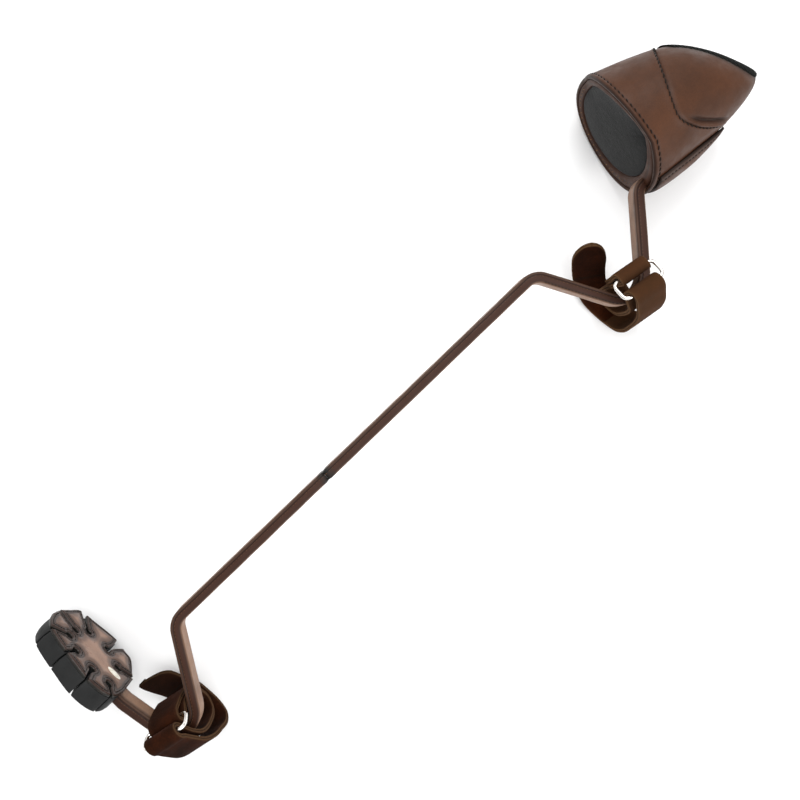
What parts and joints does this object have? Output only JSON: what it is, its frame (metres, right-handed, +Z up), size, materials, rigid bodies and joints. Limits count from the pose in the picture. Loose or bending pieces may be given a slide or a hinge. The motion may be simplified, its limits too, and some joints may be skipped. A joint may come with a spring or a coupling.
{
  "type": "strap-on bow quiver",
  "caption": "Strap-on bow quiver: moulded leather hood with foam, leather-covered spring bar with V feet, cinch straps with rings, slotted rubber arrow gripper.",
  "frame": {"origin": "centre of the footprint, on the surface it lies on", "axes": "+X along the arrows towards the hood's tip, -Y towards the bow, +Z up"},
  "size_m": [0.5868, 0.148, 0.0912],
  "materials": {
    "hood_leather": "semi-matt oiled leather",
    "bar_leather": "semi-matt oiled leather, stitched along its edge",
    "strap_leather": "suede-like flesh side with a smooth outer face",
    "gripper_leather": "smooth pale brown leather, creased and stitched",
    "foam": "dense charcoal foam",
    "rubber": "matt black rubber",
    "spring_steel": "spring steel strip",
    "nickel": "bright nickel plate",
    "badge": "plain pale oval",
    "thread": "waxed dark thread",
    "lacing": "blackened lace and burnished edge"
  },
  "bodies": {
    "frame": {"spring_steel_bar": "spring_steel", "bar_wrap_hood_half": "bar_leather", "bar_wrap_gripper_half": "bar_leather", "hood_band": "hood_leather", "hood_cap": "hood_leather", "hood_rim_liner": "hood_leather", "hood_foam": "foam", "hood_bar_patch": "hood_leather", "gripper_rubber": "rubber", "gripper_leather_cover": "gripper_leather", "gripper_badge": "badge", "gripper_rivet_1": "nickel", "gripper_rivet_2": "nickel", "upper_strap_loop": "strap_leather", "lower_strap_loop": "strap_leather"},
    "upper_ring": {"upper_ring": "nickel"},
    "upper_strap_tail": {"upper_strap_tail": "strap_leather"},
    "upper_strap_tab": {"upper_strap_tab": "strap_leather"},
    "lower_ring": {"lower_ring": "nickel"},
    "lower_strap_tail": {"lower_strap_tail": "strap_leather"},
    "lower_strap_tab": {"lower_strap_tab": "strap_leather"}
  },
  "joints": [
    {"name": "upper_ring_swing", "type": "hinge", "parent": "frame", "child": "upper_ring", "pos_m": [0.13785, -0.03528, 0.0735], "axis": [0.9872, -0.1593, 0], "range_deg": [-6, 0]},
    {"name": "upper_tail_swing", "type": "hinge", "parent": "upper_ring", "child": "upper_strap_tail", "pos_m": [0.13785, -0.04778, 0.079], "axis": [0.9872, -0.1593, 0], "range_deg": [-95, 0]},
    {"name": "upper_tab_unfurl", "type": "hinge", "parent": "upper_strap_tail", "child": "upper_strap_tab", "pos_m": [0.13915, -0.05378, 0.0019], "axis": [0.9872, -0.1593, 0], "range_deg": [-80.75, 0]},
    {"name": "lower_ring_swing", "type": "hinge", "parent": "frame", "child": "lower_ring", "pos_m": [-0.26625, -0.03828, 0.0635], "axis": [0.9801, -0.1987, 0], "range_deg": [-14, 0]},
    {"name": "lower_tail_swing", "type": "hinge", "parent": "lower_ring", "child": "lower_strap_tail", "pos_m": [-0.26625, -0.04228, 0.0785], "axis": [0.9801, -0.1987, 0], "range_deg": [-95, 0]},
    {"name": "lower_tab_unfurl", "type": "hinge", "parent": "lower_strap_tail", "child": "lower_strap_tab", "pos_m": [-0.26785, -0.05428, 0.0019], "axis": [0.9801, -0.1987, 0], "range_deg": [-80.75, 0]}
  ],
  "couplings": [
    {"joint": "upper_tab_unfurl", "follows": "upper_tail_swing", "ratio": 0.85},
    {"joint": "lower_tab_unfurl", "follows": "lower_tail_swing", "ratio": 0.85}
  ]
}
